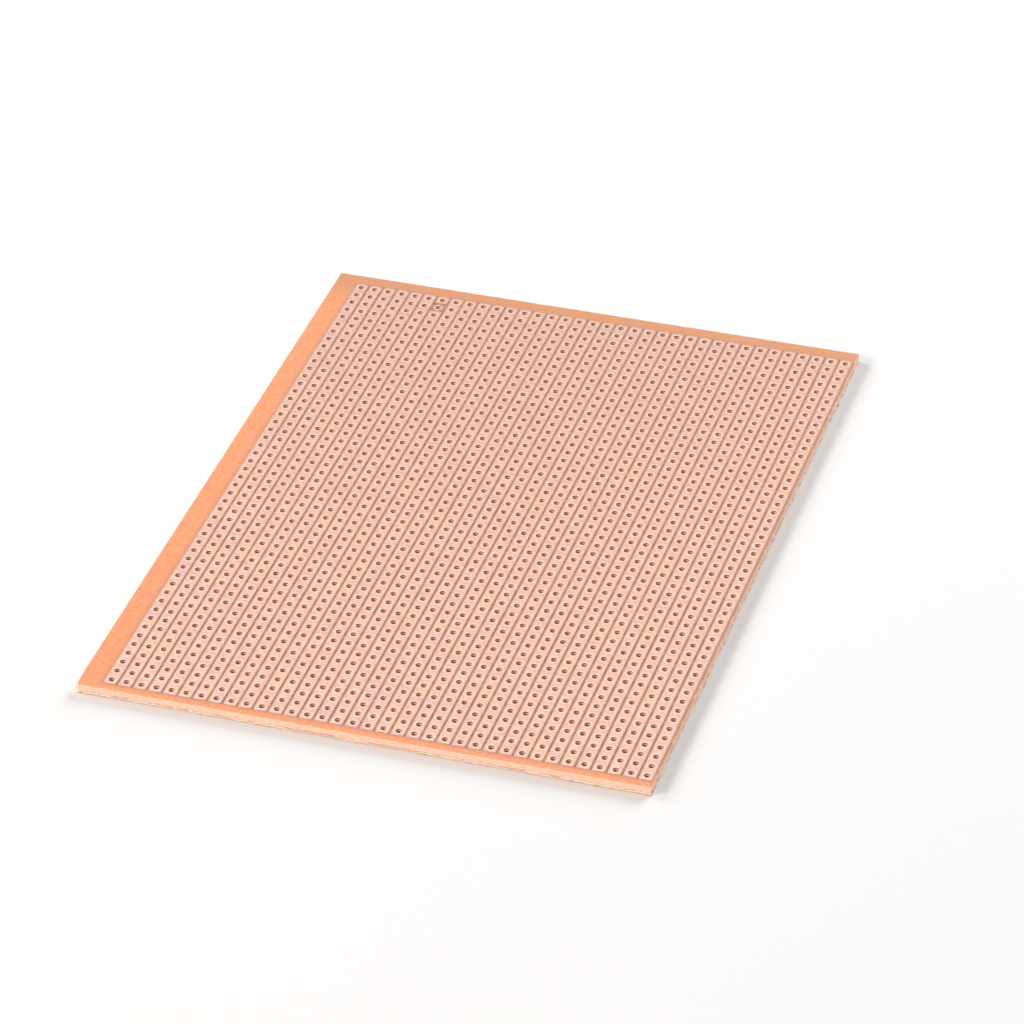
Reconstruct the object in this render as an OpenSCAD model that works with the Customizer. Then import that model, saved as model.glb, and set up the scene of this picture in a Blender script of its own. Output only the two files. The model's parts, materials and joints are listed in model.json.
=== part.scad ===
// Copper strip prototype board: a single-sided phenolic paper board with parallel
// copper strips on its top face and a hole grid drilled through strips and board.
// Millimetres. +Z up with the copper side on top, strips along Y, origin under the
// middle of the board on the surface it lies on.

/* [Hole grid] */
// Distance between neighbouring holes, both ways
pitch = 2.54; // [2:0.01:5.08]
// Number of strips, side by side across the board
strips = 36; // [8:1:40]
// Number of holes along each strip
holes_per_strip = 50; // [8:1:60]
// Diameter of the holes
hole_d = 1; // [0.7:0.05:1.3]

/* [Copper strips] */
// Width of each strip
strip_w = 2.1; // [1.6:0.05:2.3]
// How far a strip runs on past the centre of its last hole, at both ends
strip_overrun = 1.12; // [0.8:0.01:1.2]
// Radius of the etched corners at a strip's ends
strip_corner_r = 0.25; // [0.1:0.05:0.6]
// Thickness of the copper foil
foil_t = 0.035; // [0.018:0.001:0.105]

/* [Reference pad] */
// Strip that holds the separate round pad, counted from the left
pad_strip = 7; // [2:1:8]
// Hole that the pad surrounds, counted from the back
pad_hole = 2; // [2:1:6]
// Diameter of the pad
pad_d = 1.76; // [1.4:0.02:2]
// How far the short piece of strip behind the pad runs on past its front hole
end_piece_overrun = 1.06; // [0.8:0.01:1.2]
// How far the long rest of the strip runs on past its back hole
rest_overrun = 1.34; // [0.8:0.01:1.36]

/* [Board] */
// Bare margin left of the strips
margin_left = 4.1; // [0.4:0.1:10]
// Bare margin right of the strips
margin_right = 0.6; // [0.4:0.1:10]
// Bare margin in front of the strips
margin_front = 1.7; // [0.4:0.1:10]
// Bare margin behind the strips
margin_back = 2.8; // [0.4:0.1:10]
// Thickness of the bare board
board_t = 1.6; // [0.8:0.1:2.4]

/* [Hidden] */
// Spans of the hole grid between the centres of its outer holes
grid_w = (strips - 1) * pitch;
grid_l = (holes_per_strip - 1) * pitch;
// Size of the board
board_w = margin_left + grid_w + strip_w + margin_right;
board_l = margin_front + grid_l + 2 * strip_overrun + margin_back;
// Centre of the front left hole of the grid
first_x = -board_w / 2 + margin_left + strip_w / 2;
first_y = -board_l / 2 + margin_front + strip_overrun;
// Holes of the divided strip, counted from the front: the pad's own, the first
// of the end piece and the last of the long rest
pad_row = holes_per_strip - pad_hole;
end_row = pad_row + 1;
rest_row = pad_row - 1;
facets = 72;

function strip_x(n) = first_x + (n - 1) * pitch;
function hole_y(row) = first_y + row * pitch;
function track_name(n) = str("track_", n < 10 ? "0" : "", n);

module holes(columns, rows) {
    for (n = columns, row = rows)
        translate([strip_x(n), hole_y(row)]) circle(d = hole_d, $fn = facets);
}

// One piece of a strip from its first to its last hole, with its corners rounded
module strip_outline(n, first_row, last_row, front_overrun, back_overrun) {
    half = strip_w / 2 - strip_corner_r;
    front = hole_y(first_row) - front_overrun + strip_corner_r;
    back = hole_y(last_row) + back_overrun - strip_corner_r;
    for (side = [-1, 1], y = [front, back])
        translate([strip_x(n) + side * half, y]) circle(r = strip_corner_r, $fn = facets);
    translate([strip_x(n) - half, front - strip_corner_r])
        square([2 * half, back - front + 2 * strip_corner_r]);
    translate([strip_x(n) - strip_w / 2, front]) square([strip_w, back - front]);
}

module foil() {
    color("#f1c4b2") translate([0, 0, board_t]) linear_extrude(foil_t) children();
}

module laminate() {
    color("#e3a577") linear_extrude(board_t) difference() {
        square([board_w, board_l], center = true);
        holes([1:strips], [0:holes_per_strip - 1]);
    }
}

// A full strip, or the long front piece of the divided one
module track(n) {
    divided = n == pad_strip;
    last_row = divided ? rest_row : holes_per_strip - 1;
    foil() difference() {
        strip_outline(n, 0, last_row, strip_overrun, divided ? rest_overrun : strip_overrun);
        holes(n, [0:last_row]);
    }
}

module track_end_piece() {
    foil() difference() {
        strip_outline(pad_strip, end_row, holes_per_strip - 1, end_piece_overrun, strip_overrun);
        holes(pad_strip, [end_row:holes_per_strip - 1]);
    }
}

module reference_pad() {
    foil() difference() {
        translate([strip_x(pad_strip), hole_y(pad_row)]) circle(d = pad_d, $fn = facets);
        holes(pad_strip, pad_row);
    }
}

laminate();
for (n = [1:strips]) track(n);
reference_pad();
track_end_piece();
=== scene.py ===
"""Finishes the copper strip prototype board round its CAD model, and lights and frames it."""

import json
import math

import bmesh
import bpy
from mathutils import Matrix, Vector, noise


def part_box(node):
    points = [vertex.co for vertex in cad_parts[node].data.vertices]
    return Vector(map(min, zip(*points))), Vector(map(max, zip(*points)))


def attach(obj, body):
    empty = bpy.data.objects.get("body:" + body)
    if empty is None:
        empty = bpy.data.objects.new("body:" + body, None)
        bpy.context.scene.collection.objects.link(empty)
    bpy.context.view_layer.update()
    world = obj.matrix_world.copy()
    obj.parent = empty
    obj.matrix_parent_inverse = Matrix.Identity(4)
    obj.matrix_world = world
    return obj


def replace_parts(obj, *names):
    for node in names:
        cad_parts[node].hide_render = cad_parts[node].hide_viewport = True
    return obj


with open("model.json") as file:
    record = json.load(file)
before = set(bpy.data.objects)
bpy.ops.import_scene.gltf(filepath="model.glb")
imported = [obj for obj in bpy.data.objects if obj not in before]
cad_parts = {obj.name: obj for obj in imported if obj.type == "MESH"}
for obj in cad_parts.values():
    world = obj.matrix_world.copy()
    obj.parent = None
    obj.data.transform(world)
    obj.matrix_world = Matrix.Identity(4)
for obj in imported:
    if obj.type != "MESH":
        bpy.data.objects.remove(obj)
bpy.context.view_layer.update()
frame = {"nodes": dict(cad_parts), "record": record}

# Sizes here are in millimetres, and the finished pieces are scaled to the frame's metres.
MM = 0.001


def in_mm(point):
    """A point of the frame, in millimetres."""
    return Vector(point) / MM


def node_box(node):
    """The lowest and highest corners of a CAD node, in millimetres."""
    return [in_mm(corner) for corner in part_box(node)]


# The hole grid, from the corner holes that the record states and from the strips' boxes.
BORES = {m["name"]: m for m in frame["record"]["mounts"] if m["kind"] == "bore"}
FIRST_HOLE = in_mm(BORES["corner_hole_front_left"]["pos_m"])
LAST_HOLE = in_mm(BORES["corner_hole_back_right"]["pos_m"])
HOLE_R = BORES["corner_hole_front_left"]["dims"]["r_mm"]
PITCH = node_box("track_02")[0].x - node_box("track_01")[0].x
COLUMNS = round((LAST_HOLE.x - FIRST_HOLE.x) / PITCH) + 1
ROWS = round((LAST_HOLE.y - FIRST_HOLE.y) / PITCH) + 1

# The board and its foil.
BOARD_LOW, BOARD_HIGH = node_box("laminate")
STRIP_LOW, STRIP_HIGH = node_box("track_01")
BOARD_TOP = BOARD_HIGH.z
FOIL_TOP = STRIP_HIGH.z
STRIP_HALF = (STRIP_HIGH.x - STRIP_LOW.x) / 2

# The foil's finish: its round corners, the rim drawn down into each hole, and its outer arris.
CORNER_R = 0.25
RIM_WIDTH = 0.1
RIM_DEPTH = 0.6 * (FOIL_TOP - BOARD_TOP)
FOIL_ARRIS = 0.012

# How finely the meshes are cut, and how near two coordinates are when they count as the same.
HOLE_SIDES = 20
WALL_STEP = 0.35
MERGE = 0.001
SAME = 0.002


def edges_of(made):
    """The edges of what a create operator made."""
    return list({e for v in made["verts"] for e in v.link_edges})


def ring(bm, x, y, z, radius):
    """A round of edges at one hole."""
    at = Matrix.Translation((x, y, z))
    return edges_of(bmesh.ops.create_circle(bm, segments=HOLE_SIDES, radius=radius, matrix=at))


def rectangle(bm, low_x, high_x, low_y, high_y, z):
    """A rectangle of four edges."""
    at = Matrix.Translation(((low_x + high_x) / 2, (low_y + high_y) / 2, z))
    size = Matrix.Diagonal(((high_x - low_x) / 2, (high_y - low_y) / 2, 1, 1))
    turn = Matrix.Rotation(math.pi / 4, 4, "Z")
    made = bmesh.ops.create_circle(bm, segments=4, radius=math.sqrt(2), matrix=at @ size @ turn)
    return edges_of(made)


def bridge(bm, *loops):
    """Joins each round of edges to the next with faces."""
    for one, other in zip(loops, loops[1:]):
        bmesh.ops.bridge_loops(bm, edges=one + other)


def fill_between(bm, outline, hole):
    """Fills the flat stretch between an outline and the round of edges inside it."""
    bmesh.ops.triangle_fill(
        bm, use_beauty=True, use_dissolve=False, edges=outline + hole, normal=(0, 0, 1)
    )


def repeat(bm, step, count):
    """Repeats the whole mesh in a row, count in all."""
    if count > 1:
        everything = bm.verts[:] + bm.edges[:] + bm.faces[:]
        bmesh.ops.spin(
            bm, geom=everything, cent=(0, 0, 0), axis=(0, 0, 1), dvec=step, angle=0,
            space=Matrix.Identity(4), steps=count - 1, use_merge=False,
            use_normal_flip=False, use_duplicate=True,
        )


def close_up(bm):
    """Merges the repeats and points every face outwards."""
    bmesh.ops.remove_doubles(bm, verts=bm.verts, dist=MERGE)
    bmesh.ops.recalc_face_normals(bm, faces=bm.faces)


def boundary_at(bm, z):
    """The open edges that lie at one height."""
    return [e for e in bm.edges if e.is_boundary and all(abs(v.co.z - z) < SAME for v in e.verts)]


def finished(bm, name, materials, nodes):
    """Makes the piece that shows in place of the CAD nodes."""
    bm.transform(Matrix.Scale(MM, 4))
    mesh = bpy.data.meshes.new(name)
    bm.to_mesh(mesh)
    bm.free()
    for material in materials:
        mesh.materials.append(material)
    piece = bpy.data.objects.new(name, mesh)
    bpy.context.scene.collection.objects.link(piece)
    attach(piece, "root")
    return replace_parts(piece, *nodes)


# ---------------------------------------------------------------- foil


def rim_rings(bm, x, y):
    """The rounds of edges of one hole in the foil, from its drawn-down rim to the board."""
    profile = (
        (HOLE_R + RIM_WIDTH, FOIL_TOP),
        (HOLE_R + 0.35 * RIM_WIDTH, FOIL_TOP - 0.35 * RIM_DEPTH),
        (HOLE_R, FOIL_TOP - RIM_DEPTH),
        (HOLE_R, BOARD_TOP),
    )
    return [ring(bm, x, y, z, radius) for radius, z in profile]


def soften_foil(bm):
    """Rounds the foil's outer arris and shades its flat top flat and its rims smooth."""
    bm.normal_update()
    arris = [
        e for e in bm.edges
        if all(abs(v.co.z - FOIL_TOP) < SAME for v in e.verts)
        and abs(e.calc_face_angle(0)) > 1
    ]
    bmesh.ops.bevel(
        bm, geom=arris, offset=FOIL_ARRIS, offset_type="OFFSET", segments=2,
        profile=0.5, affect="EDGES", material=-1, clamp_overlap=True,
    )
    bm.normal_update()
    for face in bm.faces:
        face.smooth = abs(face.normal.z) < 0.9999


def strip(node, copper):
    """A length of strip with all its holes, squared off with small round corners."""
    low, high = node_box(node)
    first_row = math.ceil((low.y - FIRST_HOLE.y) / PITCH)
    last_row = math.floor((high.y - FIRST_HOLE.y) / PITCH)
    x = (low.x + high.x) / 2
    y = FIRST_HOLE.y + first_row * PITCH
    near, far = y - PITCH / 2, y + PITCH / 2
    bm = bmesh.new()
    top = rectangle(bm, low.x, high.x, near, far, FOIL_TOP)
    bottom = rectangle(bm, low.x, high.x, near, far, BOARD_TOP)
    rims = rim_rings(bm, x, y)
    fill_between(bm, top, rims[0])
    bridge(bm, *rims)
    fill_between(bm, bottom, rims[-1])
    repeat(bm, (0, PITCH, 0), last_row - first_row + 1)
    bmesh.ops.remove_doubles(bm, verts=bm.verts, dist=MERGE)
    back = FIRST_HOLE.y + last_row * PITCH + PITCH / 2
    for v in bm.verts:
        if abs(v.co.y - near) < SAME:
            v.co.y = low.y
        elif abs(v.co.y - back) < SAME:
            v.co.y = high.y
    walls = bmesh.ops.extrude_edge_only(bm, edges=boundary_at(bm, FOIL_TOP))["geom"]
    down = [g for g in walls if isinstance(g, bmesh.types.BMVert)]
    bmesh.ops.translate(bm, verts=down, vec=(0, 0, BOARD_TOP - FOIL_TOP))
    close_up(bm)
    corners = [
        e for e in bm.edges
        if abs(e.verts[0].co.z - e.verts[1].co.z) > SAME
        and all(abs(abs(v.co.x - x) - STRIP_HALF) < SAME for v in e.verts)
        and (abs(e.verts[0].co.y - low.y) < SAME or abs(e.verts[0].co.y - high.y) < SAME)
    ]
    bmesh.ops.bevel(
        bm, geom=corners, offset=CORNER_R, offset_type="OFFSET", segments=4,
        profile=0.5, affect="EDGES", material=-1,
    )
    soften_foil(bm)
    return finished(bm, node + "_foil", [copper], [node])


def pad(node, copper):
    """The round pad that stands alone at one hole of the divided strip."""
    low, high = node_box(node)
    x, y, radius = (low.x + high.x) / 2, (low.y + high.y) / 2, (high.x - low.x) / 2
    bm = bmesh.new()
    outlines = []
    for z in (FOIL_TOP, BOARD_TOP):
        at = Matrix.Translation((x, y, z))
        made = bmesh.ops.create_circle(bm, segments=2 * HOLE_SIDES, radius=radius, matrix=at)
        outlines.append(edges_of(made))
    rims = rim_rings(bm, x, y)
    fill_between(bm, outlines[0], rims[0])
    bridge(bm, *rims)
    fill_between(bm, outlines[1], rims[-1])
    bridge(bm, *outlines)
    close_up(bm)
    soften_foil(bm)
    return finished(bm, node + "_foil", [copper], [node])


# ---------------------------------------------------------------- board


def smooth_step(low, high, value):
    """0 at low, 1 at high, held beyond them, and an easy turn between."""
    t = min(1, max(0, (value - low) / (high - low)))
    return t * t * (3 - 2 * t)


# The sheared edge from the copper side down: depth, how far it stands in, and how torn it is.
# It is smooth at first, then rough, with a crease over the burr that the blade left near the bottom.
CREASE_DEPTH = 1.29
EDGE_PROFILE = (
    (0.0, 0.08, 0.05),
    (0.07, 0.06, 0.04),
    (0.35, 0.08, 0.05),
    (0.65, 0.10, 0.06),
    (0.95, 0.11, 0.07),
    (1.22, 0.13, 0.07),
    (CREASE_DEPTH, 0.19, 0.06),
    (1.36, 0.05, 0.05),
    (1.43, 0.0, 0.03),
    (1.49, 0.03, 0.04),
    (1.55, 0.09, 0.04),
    (1.6, 0.15, 0.03),
)

# The burr wanders up and down by BURR_WAVE, in long waves and short ones. What lies within
# BURR_CORE of it goes along, and what lies past BURR_REACH stays. Nothing drops below LOWEST of
# its own height.
BURR_DEPTH = 1.38
BURR_WAVE = 0.17
BURR_CORE = 0.08
BURR_REACH = 0.22
LONG_WAVE = 2.4
SHORT_WAVE = 0.8
LOWEST = 0.4

# The torn edge stays inside the outline by EDGE_CLEARANCE. Its tears are BROAD_TEAR and FINE_TEAR
# long. Within FRAY_REACH of the front left corner, it is frayed by up to FRAY more at the top, and
# no more than before at FRAY_DEPTH.
EDGE_CLEARANCE = 0.008
BROAD_TEAR = 1.7
FINE_TEAR = 0.55
FRAY = 0.2
FRAY_REACH = 5
FRAY_DEPTH = 0.5


def cut_in(x, y, depth, inset, torn):
    """How far the sheared edge stands in from the outline at one point."""
    broad = 0.5 + 0.5 * noise.noise(Vector((x, y, depth * 0.6)) / BROAD_TEAR)
    fine = 0.5 + 0.5 * noise.noise(Vector((x, y, depth * 1.5)) / FINE_TEAR)
    corner = (Vector((x, y)) - BOARD_LOW.xy).length
    frayed = smooth_step(FRAY_REACH, 0, corner) * smooth_step(FRAY_DEPTH, 0, depth)
    return EDGE_CLEARANCE + inset + torn * 2 * broad * fine + FRAY * frayed * fine


def roughen(v, depth, inset, torn):
    """Moves a point of the cut edge to where the shears left it."""
    x, y = v.co.x, v.co.y
    amount = cut_in(x, y, depth, inset, torn)
    wave = noise.noise(Vector((x, y, 9)) / LONG_WAVE)
    wave += 0.35 * noise.noise(Vector((x, y, 4)) / SHORT_WAVE)
    lift = BURR_WAVE * wave * smooth_step(BURR_REACH, BURR_CORE, abs(depth - BURR_DEPTH))
    v.co.z = max(LOWEST * v.co.z, v.co.z + lift)
    for axis, low, high in ((0, BOARD_LOW.x, BOARD_HIGH.x), (1, BOARD_LOW.y, BOARD_HIGH.y)):
        if abs(v.co[axis] - low) < SAME:
            v.co[axis] += amount
        elif abs(v.co[axis] - high) < SAME:
            v.co[axis] -= amount


def laminate(faces_material, edge_material, bore_material):
    """The board: its holes run right through, and its four edges are sheared and torn."""
    bm = bmesh.new()
    x, y, half = FIRST_HOLE.x, FIRST_HOLE.y, PITCH / 2
    top = rectangle(bm, x - half, x + half, y - half, y + half, BOARD_TOP)
    bottom = rectangle(bm, x - half, x + half, y - half, y + half, 0)
    mouths = [ring(bm, x, y, z, HOLE_R) for z in (BOARD_TOP, 0)]
    fill_between(bm, top, mouths[0])
    bridge(bm, *mouths)
    fill_between(bm, bottom, mouths[1])
    bm.normal_update()
    for face in bm.faces:
        if abs(face.normal.z) < 0.5:
            face.material_index = 2
            face.smooth = True
    repeat(bm, (PITCH, 0, 0), COLUMNS)
    repeat(bm, (0, PITCH, 0), ROWS)
    bmesh.ops.remove_doubles(bm, verts=bm.verts, dist=MERGE)
    drilled_top, drilled_bottom = boundary_at(bm, BOARD_TOP), boundary_at(bm, 0)

    for e in rectangle(bm, BOARD_LOW.x, BOARD_HIGH.x, BOARD_LOW.y, BOARD_HIGH.y, BOARD_TOP):
        cuts = round(e.calc_length() / WALL_STEP) - 1
        bmesh.ops.subdivide_edges(bm, edges=[e], cuts=cuts)
    arris = [e for e in bm.edges if e.is_wire]
    levels = [{v for e in arris for v in e.verts}]
    lip = arris
    for depth, inset, torn in EDGE_PROFILE[1:]:
        made = bmesh.ops.extrude_edge_only(bm, edges=lip)["geom"]
        level = {g for g in made if isinstance(g, bmesh.types.BMVert)}
        for v in level:
            v.co.z = BOARD_TOP - depth
        lip = [g for g in made if isinstance(g, bmesh.types.BMEdge) and all(v in level for v in g.verts)]
        levels.append(level)
        for g in made:
            if isinstance(g, bmesh.types.BMFace):
                g.material_index = 1
                g.smooth = True
    for level, step in zip(levels, EDGE_PROFILE):
        for v in level:
            roughen(v, *step)
    fill_between(bm, arris, drilled_top)
    fill_between(bm, lip, drilled_bottom)
    bmesh.ops.recalc_face_normals(bm, faces=bm.faces)
    return finished(
        bm, "drilled_board", [faces_material, edge_material, bore_material], ["laminate"]
    )


# ---------------------------------------------------------------- materials


def new_material(name, roughness, metallic=0.0):
    """A material with one principled shader; returns the material, its node tree and the shader."""
    made = bpy.data.materials.new(name)
    made.use_nodes = True
    skin = made.node_tree.nodes["Principled BSDF"]
    skin.inputs["Roughness"].default_value = roughness
    skin.inputs["Metallic"].default_value = metallic
    return made, made.node_tree, skin


def node(tree, kind, inputs=(), **settings):
    """Adds a node; inputs are pairs of a socket and the value or output that feeds it."""
    made = tree.nodes.new(kind)
    for name, value in settings.items():
        setattr(made, name, value)
    for socket, value in inputs:
        if isinstance(value, bpy.types.NodeSocket):
            tree.links.new(value, made.inputs[socket])
        else:
            made.inputs[socket].default_value = value
    return made


def place(tree):
    """The point on the object that is being coloured, in millimetres."""
    point = node(tree, "ShaderNodeTexCoord").outputs["Object"]
    made = node(tree, "ShaderNodeVectorMath", [(0, point), ("Scale", 1 / MM)], operation="SCALE")
    return made.outputs[0]


def grain(tree, size, detail=2.0, stretch=(1, 1, 1), seed=0.0):
    """Soft noise from 0 to 1 with marks about size across, stretched along the axes."""
    scale = [1 / (size * s) for s in stretch]
    scaled = node(
        tree, "ShaderNodeMapping",
        [("Vector", place(tree)), ("Location", (seed, seed, seed)), ("Scale", scale)],
    )
    inputs = [("Vector", scaled.outputs[0]), ("Scale", 1.0), ("Detail", detail)]
    made = node(tree, "ShaderNodeTexNoise", inputs)
    return made.outputs["Fac"]


def fade(tree, value, low, high, to_low=0.0, to_high=1.0, easing="SMOOTHSTEP"):
    """Maps low to high onto to_low to to_high, held at both ends."""
    made = node(
        tree, "ShaderNodeMapRange",
        [("Value", value), ("From Min", low), ("From Max", high), ("To Min", to_low), ("To Max", to_high)],
        interpolation_type=easing,
    )
    return made.outputs["Result"]


def maths(tree, operation, one, other=0.0):
    """One step of arithmetic on values."""
    return node(tree, "ShaderNodeMath", [(0, one), (1, other)], operation=operation).outputs[0]


def mix(tree, amount, one, other):
    """One colour turning into the other as amount goes from 0 to 1."""
    inputs = [(0, amount), (6, one), (7, other)]
    return node(tree, "ShaderNodeMix", inputs, data_type="RGBA").outputs[2]


def bump(tree, skin, height, depth):
    """Raises the surface by up to depth where height is 1."""
    made = node(tree, "ShaderNodeBump", [("Height", height), ("Distance", depth), ("Strength", 1.0)])
    tree.links.new(made.outputs[0], skin.inputs["Normal"])


def from_nearest_hole(tree):
    """The distance in plan from the nearest hole's axis."""
    moved = node(
        tree, "ShaderNodeVectorMath", [(0, place(tree)), (1, (FIRST_HOLE.x, FIRST_HOLE.y, 0))],
        operation="SUBTRACT",
    )
    wrapped = node(
        tree, "ShaderNodeVectorMath",
        [(0, moved.outputs[0]), (1, (PITCH / 2, PITCH / 2, 9)), (2, (-PITCH / 2, -PITCH / 2, -9))],
        operation="WRAP",
    )
    flat = node(
        tree, "ShaderNodeVectorMath", [(0, wrapped.outputs[0]), (1, (1, 1, 0))], operation="MULTIPLY"
    )
    return node(tree, "ShaderNodeVectorMath", [(0, flat.outputs[0])], operation="LENGTH").outputs["Value"]


def axes(tree, vector):
    """The x, y and z of a vector."""
    return node(tree, "ShaderNodeSeparateXYZ", [(0, vector)]).outputs


def outside_strips(tree):
    """How far a point lies outside the rectangle that the strips fill, below 0 inside it."""
    middle = ((FIRST_HOLE.x + LAST_HOLE.x) / 2, (STRIP_LOW.y + STRIP_HIGH.y) / 2, 0)
    apart = node(tree, "ShaderNodeVectorMath", [(0, place(tree)), (1, middle)], operation="SUBTRACT")
    size = node(tree, "ShaderNodeVectorMath", [(0, apart.outputs[0])], operation="ABSOLUTE")
    across, along = axes(tree, size.outputs[0])[:2]
    beside = maths(tree, "SUBTRACT", across, (LAST_HOLE.x - FIRST_HOLE.x) / 2 + STRIP_HALF)
    beyond = maths(tree, "SUBTRACT", along, (STRIP_HIGH.y - STRIP_LOW.y) / 2)
    return maths(tree, "MAXIMUM", beside, beyond)


# Painted shade: the copper darkens evenly from the front left corner to the back right one, standing in for
# the light falling off across the board.
SHADE_LEAN = 1.15
SHADE_REACH = 113


def copper_material():
    """Bare copper foil: matte and mottled, with a painted highlight ring and painted shade where it is
    drawn down to each hole, and painted shade towards the back right.
    """
    made, tree, skin = new_material("bare_copper", 0.5, 0.85)
    # Buff and pink patches, paler clouds over them, and fine dark specks.
    patches = fade(tree, grain(tree, 2.6, 2.0), 0.38, 0.62)
    shades = fade(tree, grain(tree, 1.8, 2.0, seed=7.0), 0.38, 0.62)
    specks = fade(tree, grain(tree, 0.25, 4.0), 0.38, 0.62)
    tone = mix(tree, patches, (0.82, 0.55, 0.37, 1), (0.73, 0.46, 0.45, 1))
    tone = mix(tree, maths(tree, "MULTIPLY", shades, 0.8), tone, (0.89, 0.59, 0.49, 1))
    tone = mix(tree, maths(tree, "MULTIPLY", specks, 0.85), tone, (0.66, 0.41, 0.32, 1))
    across, along = axes(tree, place(tree))[:2]
    leaning = maths(tree, "ADD", along, maths(tree, "MULTIPLY", across, SHADE_LEAN))
    # Painted shade: darker towards the back right, for the light's falloff across the board.
    painted_falloff = fade(tree, leaning, -SHADE_REACH, SHADE_REACH, 0.0, 0.65, "LINEAR")
    tone = mix(tree, painted_falloff, tone, (0.47, 0.28, 0.21, 1))
    # Each hole's painted highlight ring, and painted shade on its drawn-down rim.
    apart = from_nearest_hole(tree)
    # Painted highlight: a pale ring on the foil round each hole, where its rim catches light.
    painted_highlight_ring = maths(
        tree, "MULTIPLY", fade(tree, apart, HOLE_R + 0.04, HOLE_R + 0.16, 0.0, 0.38),
        fade(tree, apart, HOLE_R + 0.5, HOLE_R + 0.2),
    )
    tone = mix(tree, painted_highlight_ring, tone, (0.91, 0.65, 0.54, 1))
    # Painted shade: dark on the drawn-down rim at each hole's mouth.
    rim = fade(tree, apart, HOLE_R + 0.08, HOLE_R + 0.01, 0.0, 0.6)
    tone = mix(tree, rim, tone, (0.4, 0.21, 0.15, 1))
    tree.links.new(tone, skin.inputs["Base Color"])
    bump(tree, skin, grain(tree, 0.12, 2.0), 0.007 * MM)
    return made


def board_material():
    """The laminate's two faces: orange where bare, and on top darkened by painted shade near the copper and
    between strips.
    """
    made, tree, skin = new_material("laminate_face", 0.55)
    across, along, height = axes(tree, place(tree))
    outside = outside_strips(tree)
    # Bare laminate: orange, mottled, with a pink blush here and there.
    mottles = fade(tree, grain(tree, 0.5, 5.0), 0.3, 0.7)
    bare = mix(tree, mottles, (0.88, 0.29, 0.125, 1), (0.94, 0.425, 0.185, 1))
    blush = fade(tree, grain(tree, 1.4, 3.0, seed=5.0), 0.4, 0.65, 0.0, 0.6)
    plain = mix(tree, blush, bare, (0.91, 0.345, 0.21, 1))
    # The copper side: duller along the back, darkened by painted shade on the thin right margin and
    # close to the copper, chipped along the arris, and brown with painted shade between the strips.
    duller = fade(tree, along, STRIP_HIGH.y - 8, STRIP_HIGH.y + 1, 0.0, 0.7)
    bare = mix(tree, duller, plain, (0.62, 0.285, 0.135, 1))
    # Painted shade: the thin right margin darkened, as the copper beside it keeps light out.
    beside = fade(tree, maths(tree, "ABSOLUTE", along), STRIP_HIGH.y, STRIP_HIGH.y - 1)
    right_margin_shade = maths(tree, "MULTIPLY", beside, fade(tree, across, LAST_HOLE.x, LAST_HOLE.x + STRIP_HALF))
    bare = mix(tree, right_margin_shade, bare, (0.42, 0.23, 0.16, 1))
    # Painted shade: the margin darker close to the copper, fading away from it.
    bare = mix(tree, fade(tree, outside, 1.1, 0.0, 0.0, 0.55), bare, (0.6, 0.26, 0.17, 1))
    bare = mix(tree, chipped(tree, across, along), bare, (0.96, 0.60, 0.38, 1))
    # Painted shade: brown between the strips, where the copper on both sides keeps light out of the
    # laminate.
    patchy = fade(tree, grain(tree, 1.3, 3.0), 0.3, 0.7)
    between = mix(tree, patchy, (0.33, 0.145, 0.09, 1), (0.51, 0.25, 0.16, 1))
    copper_side = mix(tree, fade(tree, outside, -0.1, 0.2), between, bare)
    upper = fade(tree, height, 0.4 * BOARD_TOP, 0.6 * BOARD_TOP)
    tree.links.new(mix(tree, upper, plain, copper_side), skin.inputs["Base Color"])
    bump(tree, skin, grain(tree, 0.15, 4.0), 0.012 * MM)
    return made


def chipped(tree, across, along):
    """1 in the pale chips along the sheared arris, 0 away from it."""
    size = maths(tree, "ABSOLUTE", across), maths(tree, "ABSOLUTE", along)
    gaps = [maths(tree, "SUBTRACT", half, value) for half, value in zip(BOARD_HIGH.xy, size)]
    inward = maths(tree, "MINIMUM", *gaps)
    ragged = fade(tree, grain(tree, 2.0, 4.0, seed=11.0), 0.35, 0.75, 0.0, 0.3)
    return fade(tree, maths(tree, "SUBTRACT", ragged, inward), -0.05, 0.1)


def streaks(tree, size, slant):
    """Soft noise with marks about size high and five times as long, leaning by slant."""
    across, along, up = axes(tree, place(tree))
    run = maths(tree, "ADD", maths(tree, "ADD", across, along), maths(tree, "MULTIPLY", up, slant))
    scaled = [(0, maths(tree, "DIVIDE", run, 5 * size)), (1, maths(tree, "DIVIDE", up, size))]
    drawn = node(tree, "ShaderNodeCombineXYZ", scaled)
    made = node(tree, "ShaderNodeTexNoise", [("Vector", drawn.outputs[0]), ("Scale", 1.0), ("Detail", 4.0)])
    return made.outputs["Fac"]


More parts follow.
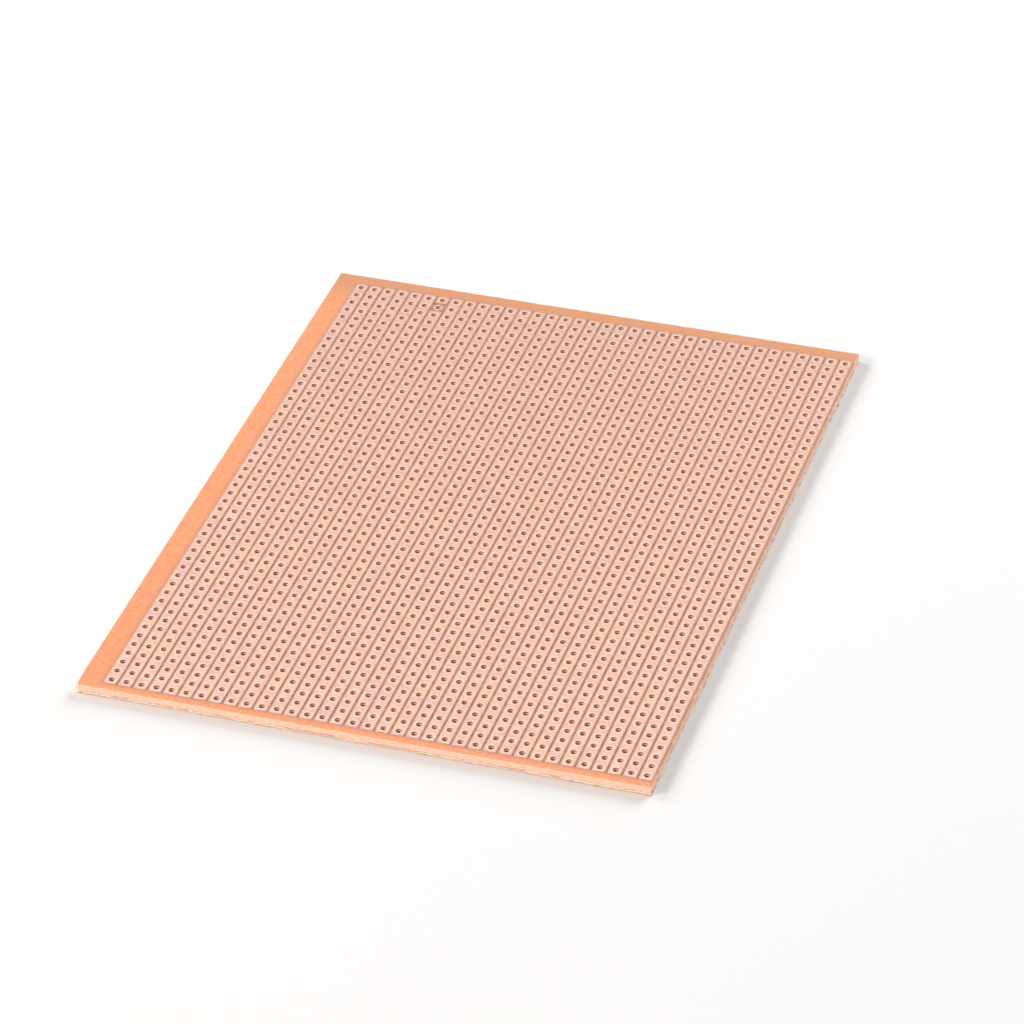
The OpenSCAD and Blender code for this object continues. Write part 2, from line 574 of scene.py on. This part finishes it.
def cut_edge_material():
    """The sheared edge: peach and streaked, with a pale burr, partly painted highlight, under a crease of
    painted shade, and painted shadow at its foot.
    """
    made, tree, skin = new_material("laminate_cut_edge", 0.8)
    height = axes(tree, place(tree))[2]
    waver = fade(tree, grain(tree, 1.6, 2.0, seed=3.0), 0.3, 0.7, -0.07, 0.07)
    level = maths(tree, "ADD", height, waver)
    drawn = streaks(tree, 0.16, -2.5)
    tone = mix(tree, fade(tree, drawn, 0.35, 0.65), (0.9, 0.49, 0.37, 1), (0.98, 0.74, 0.575, 1))
    arris = fade(tree, level, BOARD_TOP - 0.3, BOARD_TOP - 0.02, 0.0, 0.8)
    tone = mix(tree, arris, tone, (0.95, 0.56, 0.34, 1))
    # Painted shade in a line just over the crease, the pale burr under it that is partly a painted
    # highlight, and a painted shadow along the edge underneath.
    crease = BOARD_TOP - CREASE_DEPTH
    # Painted shade: a dark line just over the crease.
    crease_shade = fade(tree, level, crease + 0.1, crease + 0.02, 0.0, 0.85)
    tone = mix(tree, crease_shade, tone, (0.58, 0.31, 0.21, 1))
    # Pale torn fibres on the burr, made paler still as a painted highlight where the lip catches light.
    below = fade(tree, level, crease, crease - 0.06)
    tone = mix(tree, below, tone, (0.99, 0.81, 0.64, 1))
    # Painted shadow: dark along the bottom of the edge, where it meets the floor.
    tone = mix(tree, fade(tree, level, 0.13, 0.07), tone, (0.24, 0.11, 0.07, 1))
    tree.links.new(tone, skin.inputs["Base Color"])
    bump(tree, skin, drawn, 0.06 * MM)
    return made


def bore_material():
    """The wall of a drilled hole: painted shade at the mouth, painted light a little below it, and dark
    brown further down.
    """
    made, tree, skin = new_material("laminate_bore", 0.75)
    skin.inputs["Specular IOR Level"].default_value = 0.2
    depth = maths(tree, "SUBTRACT", BOARD_TOP, axes(tree, place(tree))[2])
    tone = mix(tree, grain(tree, 0.2, 2.0), (0.37, 0.105, 0.05, 1), (0.47, 0.165, 0.085, 1))
    # Painted light: a pale stripe a little below the mouth, for the wall lit by the lamp from the left.
    painted_lit_band = maths(tree, "MULTIPLY", fade(tree, depth, 0.12, 0.2), fade(tree, depth, 0.58, 0.4))
    tone = mix(tree, painted_lit_band, tone, (1.0, 0.72, 0.58, 1))
    # Painted shade: dark at the mouth, under the foil's edge.
    tone = mix(tree, fade(tree, depth, 0.16, 0.08), tone, (0.25, 0.065, 0.04, 1))
    tree.links.new(tone, skin.inputs["Base Color"])
    return made


# ---------------------------------------------------------------- setting


# The floor's half side, in metres, and how far it lies under the board, in millimetres.
FLOOR_HALF = 4.0
FLOOR_GAP = 0.02


def white_floor():
    """A plain white floor, a hair under the board so that the two faces don't share a plane."""
    bm = bmesh.new()
    at = Matrix.Translation((0, 0, -FLOOR_GAP * MM))
    bmesh.ops.create_grid(bm, x_segments=1, y_segments=1, size=FLOOR_HALF, matrix=at)
    mesh = bpy.data.meshes.new("floor")
    bm.to_mesh(mesh)
    bm.free()
    made, tree, skin = new_material("white_paper", 0.9)
    skin.inputs["Base Color"].default_value = (0.985, 0.985, 0.985, 1)
    skin.inputs["Specular IOR Level"].default_value = 0.1
    mesh.materials.append(made)
    floor = bpy.data.objects.new("floor", mesh)
    bpy.context.scene.collection.objects.link(floor)


# The lamps: azimuth, elevation, size, power and tint. What comes from the front is a touch warmer
# than what comes from behind, and the world's even light is as warm as the front's.
WARM = (1, 0.915, 0.865)
COOL = (0.92, 0.975, 1)
AMBIENT = 0.21
LAMP_DISTANCE = 2.0
LAMPS = {
    "left": (-50, 29, 0.7, 22, WARM),
    "back_left": (-105, 26, 0.8, 19, COOL),
    "back": (160, 23, 1.1, 38, COOL),
    "front": (-8, 12, 0.8, 11.5, WARM),
}

# The camera: where it aims from the middle of the hole grid, in millimetres, its direction and
# tilt in degrees, its distance in metres and its lens in millimetres.
AIM_OFFSET = (2.58, 1.65, 0)
CAMERA_AZIMUTH = 17.61
CAMERA_ELEVATION = 34.01
CAMERA_TILT = -0.54
CAMERA_DISTANCE = 0.8819
CAMERA_LENS = 185.7


def sky(ambient):
    """An even world: white where it is seen or reflected, and lower and warmer as light."""
    world = bpy.data.worlds.new("studio")
    world.use_nodes = True
    tree = world.node_tree
    back = tree.nodes["Background"]
    path = node(tree, "ShaderNodeLightPath")
    seen = maths(tree, "MAXIMUM", path.outputs["Is Camera Ray"], path.outputs["Is Glossy Ray"])
    seen = maths(tree, "MAXIMUM", seen, path.outputs["Is Transmission Ray"])
    tree.links.new(mix(tree, seen, (*WARM, 1), (1, 1, 1, 1)), back.inputs["Color"])
    tree.links.new(fade(tree, seen, 0.0, 1.0, ambient, 1.0, "LINEAR"), back.inputs["Strength"])
    bpy.context.scene.world = world


def direction(azimuth, elevation):
    """The way out from the board, in degrees; azimuth 0 is the front and 90 the right."""
    az, el = math.radians(azimuth), math.radians(elevation)
    return Vector((math.sin(az) * math.cos(el), -math.cos(az) * math.cos(el), math.sin(el)))


def looking_back(outward):
    """The turn that makes a lamp or a camera look back along its way out."""
    return (-outward).to_track_quat("-Z", "Y")


def softbox(name, azimuth, elevation, size, power, tint):
    """A square lamp that looks at the board."""
    outward = direction(azimuth, elevation)
    lamp = bpy.data.lights.new(name, "AREA")
    lamp.size = size
    lamp.energy = power
    lamp.color = tint
    made = bpy.data.objects.new(name, lamp)
    made.location = outward * LAMP_DISTANCE
    made.rotation_euler = looking_back(outward).to_euler()
    bpy.context.scene.collection.objects.link(made)


def camera():
    """Looks down along the strips from the front right."""
    middle = (FIRST_HOLE + LAST_HOLE) / 2
    aim = (middle + Vector(AIM_OFFSET)) * MM
    outward = direction(CAMERA_AZIMUTH, CAMERA_ELEVATION)
    lens = bpy.data.cameras.new("camera")
    lens.lens = CAMERA_LENS
    lens.sensor_width = 36
    lens.clip_start = 0.05
    made = bpy.data.objects.new("camera", lens)
    made.location = aim + outward * CAMERA_DISTANCE
    level = looking_back(outward).to_matrix().to_4x4()
    tilt = Matrix.Rotation(math.radians(CAMERA_TILT), 4, "Z")
    made.rotation_euler = (level @ tilt).to_euler()
    bpy.context.scene.collection.objects.link(made)
    bpy.context.scene.camera = made


# ---------------------------------------------------------------- assembly

copper = copper_material()
for name in sorted(frame["nodes"]):
    if name.startswith("track"):
        strip(name, copper)
pad("reference_pad", copper)
laminate(board_material(), cut_edge_material(), bore_material())

white_floor()
sky(AMBIENT)
for name, settings in LAMPS.items():
    softbox(name, *settings)
camera()
bpy.context.scene.view_settings.view_transform = "Standard"
